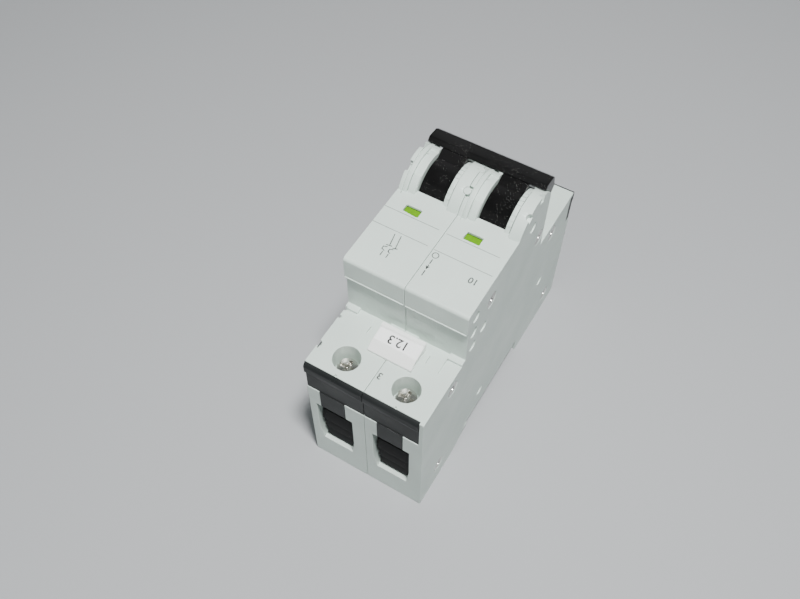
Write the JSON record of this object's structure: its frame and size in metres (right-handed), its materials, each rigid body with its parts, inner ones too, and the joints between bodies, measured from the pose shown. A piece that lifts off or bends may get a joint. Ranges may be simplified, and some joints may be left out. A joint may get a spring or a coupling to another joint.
{
  "type": "miniature circuit breaker",
  "caption": "Two-pole miniature circuit breaker for a 35 mm rail: coupled toggles, contact indicators, screw terminals with louvered shutters and a clip-on label",
  "frame": {"origin": "on the plane where the housing sits on the mounting rail, midway between the two end faces and midway between the outer sides", "axes": "+Z away from the rail towards the toggles, +Y towards the load end, +X across the poles to the right when the load end points away"},
  "size_m": [0.036, 0.0908, 0.077],
  "materials": {
    "housing": "fine satin moulded thermoplastic, light grey",
    "handle_black": "glossy black thermoset",
    "anthracite": "satin anthracite moulding",
    "shutter_black": "satin black moulding",
    "bobbin_plastic": "dark moulding",
    "label_white": "white semi-gloss clip",
    "label_paper": "blank white strip",
    "flag_green": "lime green, satin",
    "nickel": "nickel-plated steel, worn",
    "cage_steel": "zinc-plated steel",
    "plain_steel": "plain steel",
    "bright_steel": "bright spring steel",
    "rivet_steel": "zinc-plated steel",
    "copper": "bare copper",
    "copper_braid": "bare copper braid",
    "bimetal": "rolled bimetal"
  },
  "bodies": {
    "housing": {"left_shell_1": "housing", "right_shell_1": "housing", "fixed_contact_1": "copper", "line_strap_1": "copper", "load_strap_1": "copper", "magnet_coil_1": "copper", "coil_bobbin_1": "bobbin_plastic", "magnet_yoke_1": "plain_steel", "bimetal_1": "bimetal", "braid_1": "copper_braid", "arc_plates_1": "plain_steel", "arc_runner_1": "plain_steel", "line_end_bar_1": "anthracite", "load_end_bar_1": "anthracite", "left_shell_2": "housing", "right_shell_2": "housing", "fixed_contact_2": "copper", "line_strap_2": "copper", "load_strap_2": "copper", "magnet_coil_2": "copper", "coil_bobbin_2": "bobbin_plastic", "magnet_yoke_2": "plain_steel", "bimetal_2": "bimetal", "braid_2": "copper_braid", "arc_plates_2": "plain_steel", "arc_runner_2": "plain_steel", "line_end_bar_2": "anthracite", "load_end_bar_2": "anthracite", "rivets": "rivet_steel", "coupling_pins": "housing", "label_holder": "label_white", "label_strip": "label_paper"},
    "handle": {"toggle_1": "handle_black", "toggle_2": "handle_black", "tie_bar": "handle_black"},
    "arm_1": {"contact_arm_1": "copper"},
    "link_1_body": {"link_1": "bright_steel"},
    "flag_1": {"indicator_flag_1": "flag_green"},
    "plunger_1_body": {"plunger_1": "plain_steel"},
    "trip_1": {"trip_lever_1": "bobbin_plastic"},
    "latch_1": {"rail_latch_1": "anthracite"},
    "line_clamp_1": {"line_cage_1": "cage_steel", "line_cover_1": "shutter_black"},
    "line_screw_1_body": {"line_screw_1": "nickel"},
    "load_clamp_1": {"load_cage_1": "cage_steel", "load_cover_1": "shutter_black"},
    "load_screw_1_body": {"load_screw_1": "nickel"},
    "arm_2": {"contact_arm_2": "copper"},
    "link_2_body": {"link_2": "bright_steel"},
    "flag_2": {"indicator_flag_2": "flag_green"},
    "plunger_2_body": {"plunger_2": "plain_steel"},
    "trip_2": {"trip_lever_2": "bobbin_plastic"},
    "latch_2": {"rail_latch_2": "anthracite"},
    "line_clamp_2": {"line_cage_2": "cage_steel", "line_cover_2": "shutter_black"},
    "line_screw_2_body": {"line_screw_2": "nickel"},
    "load_clamp_2": {"load_cage_2": "cage_steel", "load_cover_2": "shutter_black"},
    "load_screw_2_body": {"load_screw_2": "nickel"}
  },
  "joints": [
    {"name": "handle_swing", "type": "hinge", "parent": "housing", "child": "handle", "pos_m": [0, 0.0124, 0.0602], "axis": [1, 0, 0], "range_deg": [0, 70]},
    {"name": "contact_arm_1_swing", "type": "hinge", "parent": "housing", "child": "arm_1", "pos_m": [-0.009, 0.004, 0.04], "axis": [1, 0, 0], "range_deg": [-18.5, 0], "deforming": ["braid_1"]},
    {"name": "link_1_swing", "type": "hinge", "parent": "handle", "child": "link_1_body", "pos_m": [-0.009, 0.00925, 0.05774], "axis": [1, 0, 0], "range_deg": [-80.1, 0]},
    {"name": "flag_1_slide", "type": "slide", "parent": "housing", "child": "flag_1", "axis": [0, 1, 0], "range_m": [0, 0.0033]},
    {"name": "plunger_1_slide", "type": "slide", "parent": "housing", "child": "plunger_1_body", "axis": [0, 1, 0], "range_m": [0, 0.0018], "stiffness_N_per_m": 60, "springref_m": -0.002},
    {"name": "trip_lever_1_swing", "type": "hinge", "parent": "housing", "child": "trip_1", "pos_m": [-0.009, -0.006, 0.046], "axis": [1, 0, 0], "range_deg": [0, 6.5]},
    {"name": "rail_latch_1_slide", "type": "slide", "parent": "housing", "child": "latch_1", "axis": [0, 1, 0], "range_m": [0, 0.004]},
    {"name": "line_screw_1_turn", "type": "hinge", "parent": "housing", "child": "line_screw_1_body", "pos_m": [-0.009, -0.03815, 0.0395], "axis": [0, 0, -1], "range_deg": [0, 2170]},
    {"name": "line_clamp_1_lift", "type": "slide", "parent": "housing", "child": "line_clamp_1", "axis": [0, 0, 1], "range_m": [0, 0.0048]},
    {"name": "load_screw_1_turn", "type": "hinge", "parent": "housing", "child": "load_screw_1_body", "pos_m": [-0.009, 0.03815, 0.0395], "axis": [0, 0, -1], "range_deg": [0, 2170]},
    {"name": "load_clamp_1_lift", "type": "slide", "parent": "housing", "child": "load_clamp_1", "axis": [0, 0, 1], "range_m": [0, 0.0048]},
    {"name": "contact_arm_2_swing", "type": "hinge", "parent": "housing", "child": "arm_2", "pos_m": [0.009, 0.004, 0.04], "axis": [1, 0, 0], "range_deg": [-18.5, 0], "deforming": ["braid_2"]},
    {"name": "link_2_swing", "type": "hinge", "parent": "handle", "child": "link_2_body", "pos_m": [0.009, 0.00925, 0.05774], "axis": [1, 0, 0], "range_deg": [-80.1, 0]},
    {"name": "flag_2_slide", "type": "slide", "parent": "housing", "child": "flag_2", "axis": [0, 1, 0], "range_m": [0, 0.0033]},
    {"name": "plunger_2_slide", "type": "slide", "parent": "housing", "child": "plunger_2_body", "axis": [0, 1, 0], "range_m": [0, 0.0018], "stiffness_N_per_m": 60, "springref_m": -0.002},
    {"name": "trip_lever_2_swing", "type": "hinge", "parent": "housing", "child": "trip_2", "pos_m": [0.009, -0.006, 0.046], "axis": [1, 0, 0], "range_deg": [0, 6.5]},
    {"name": "rail_latch_2_slide", "type": "slide", "parent": "housing", "child": "latch_2", "axis": [0, 1, 0], "range_m": [0, 0.004]},
    {"name": "line_screw_2_turn", "type": "hinge", "parent": "housing", "child": "line_screw_2_body", "pos_m": [0.009, -0.03815, 0.0395], "axis": [0, 0, -1], "range_deg": [0, 2170]},
    {"name": "line_clamp_2_lift", "type": "slide", "parent": "housing", "child": "line_clamp_2", "axis": [0, 0, 1], "range_m": [0, 0.0048]},
    {"name": "load_screw_2_turn", "type": "hinge", "parent": "housing", "child": "load_screw_2_body", "pos_m": [0.009, 0.03815, 0.0395], "axis": [0, 0, -1], "range_deg": [0, 2170]},
    {"name": "load_clamp_2_lift", "type": "slide", "parent": "housing", "child": "load_clamp_2", "axis": [0, 0, 1], "range_m": [0, 0.0048]}
  ],
  "couplings": [
    {"joint": "contact_arm_1_swing", "follows": "handle_swing", "ratio": -0.25714},
    {"joint": "link_1_swing", "follows": "handle_swing", "ratio": -1.1378},
    {"joint": "flag_1_slide", "follows": "handle_swing", "m_per_rad": 0.002619},
    {"joint": "trip_lever_1_swing", "follows": "plunger_1_slide", "rad_per_m": 58.178},
    {"joint": "line_screw_1_turn", "follows": "line_clamp_1_lift", "rad_per_m": 7854},
    {"joint": "load_screw_1_turn", "follows": "load_clamp_1_lift", "rad_per_m": 7854},
    {"joint": "contact_arm_2_swing", "follows": "handle_swing", "ratio": -0.25714},
    {"joint": "link_2_swing", "follows": "handle_swing", "ratio": -1.1378},
    {"joint": "flag_2_slide", "follows": "handle_swing", "m_per_rad": 0.002619},
    {"joint": "trip_lever_2_swing", "follows": "plunger_2_slide", "rad_per_m": 58.178},
    {"joint": "line_screw_2_turn", "follows": "line_clamp_2_lift", "rad_per_m": 7854},
    {"joint": "load_screw_2_turn", "follows": "load_clamp_2_lift", "rad_per_m": 7854}
  ]
}
